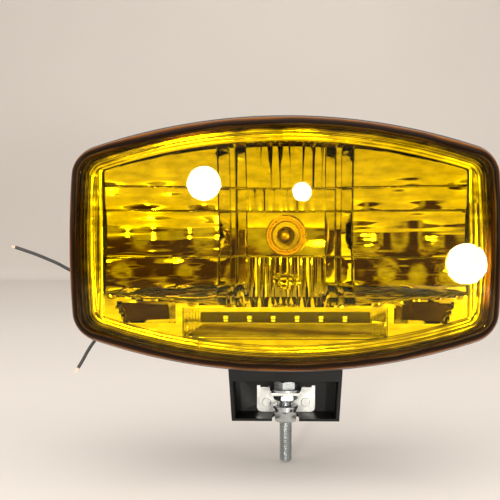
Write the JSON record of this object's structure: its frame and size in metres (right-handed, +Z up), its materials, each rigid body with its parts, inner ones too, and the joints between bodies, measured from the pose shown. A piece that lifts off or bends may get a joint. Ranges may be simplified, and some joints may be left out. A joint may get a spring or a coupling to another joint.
{
  "type": "fog light",
  "caption": "Rectangular fog light with bowed amber glass, faceted reflector, bulb and LED position strip, tilting on a hollow foot with a threaded stud.",
  "frame": {"origin": "on the stud's axis, at the height where the lower nut's underside seats on the vehicle", "axes": "+Z up along the stud, -Y the way the lamp shines, +X to the right seen from in front of the glass"},
  "size_m": [0.3911, 0.118, 0.27],
  "materials": {
    "housing_plastic": "satin black moulded plastic",
    "cover_plastic": "satin black moulded plastic",
    "foot_plastic": "smooth black moulded plastic",
    "amber_glass": "clear amber-yellow pressed glass",
    "sealant": "matt",
    "mirror_plastic": "bright metallised plastic",
    "zinc": "bright zinc plating",
    "galvanised": "satin galvanised steel",
    "circuit_board": "solder-masked board",
    "led": "LED package",
    "resistor": "chip resistor",
    "clear_plastic": "clear moulded plastic",
    "bulb_glass": "clear quartz glass",
    "tungsten": "tungsten wire",
    "nickel": "nickel-plated steel",
    "ceramic_brown": "moulded",
    "connector_plastic": "moulded",
    "spring_steel": "spring steel wire",
    "seal_rubber": "matt",
    "lead_sleeve": "smooth black PVC sleeve",
    "copper": "bare copper strands"
  },
  "bodies": {
    "stud": {"stud_bolt": "zinc", "head_washer": "zinc", "strap_nut": "zinc", "flat_washer": "zinc", "spring_washer": "zinc", "stud_nut": "zinc"},
    "foot": {"foot_shoe": "foot_plastic", "strap": "galvanised", "strap_rivets": "zinc", "pivot_bolt": "zinc", "pivot_washers": "zinc", "pivot_nut": "zinc"},
    "lamp": {"housing": "housing_plastic", "front_lens": "amber_glass", "lens_sealant": "sealant", "reflector": "mirror_plastic", "reflector_screws": "zinc", "led_trough": "mirror_plastic", "led_board": "circuit_board", "leds": "led", "led_resistors": "resistor", "led_window": "clear_plastic", "bulb_glass": "bulb_glass", "bulb_filament": "tungsten", "bulb_base": "nickel", "bulb_socket": "ceramic_brown", "bulb_terminals": "nickel", "bulb_connector": "connector_plastic", "breather": "seal_rubber", "grommets": "seal_rubber", "lead_1": "lead_sleeve", "lead_2": "lead_sleeve", "lead_1_core": "copper", "lead_2_core": "copper"},
    "clip": {"bulb_clip": "spring_steel"},
    "cover": {"rear_cover": "cover_plastic", "cover_seal": "seal_rubber"}
  },
  "joints": [
    {"name": "swivel", "type": "hinge", "parent": "stud", "child": "foot", "pos_m": [0, 0, 0.02], "axis": [0, 0, 1], "range_deg": [-40, 40]},
    {"name": "tilt", "type": "hinge", "parent": "foot", "child": "lamp", "pos_m": [0, 0.005, 0.0506], "axis": [1, 0, 0], "range_deg": [-20, 20]},
    {"name": "cover_turn", "type": "hinge", "parent": "lamp", "child": "cover", "pos_m": [0, 0.045, 0.149], "axis": [0, 1, 0], "range_deg": [0, 30]},
    {"name": "clip_swing", "type": "hinge", "parent": "lamp", "child": "clip", "pos_m": [0, 0.0192, 0.168], "axis": [1, 0, 0], "range_deg": [0, 22]}
  ]
}
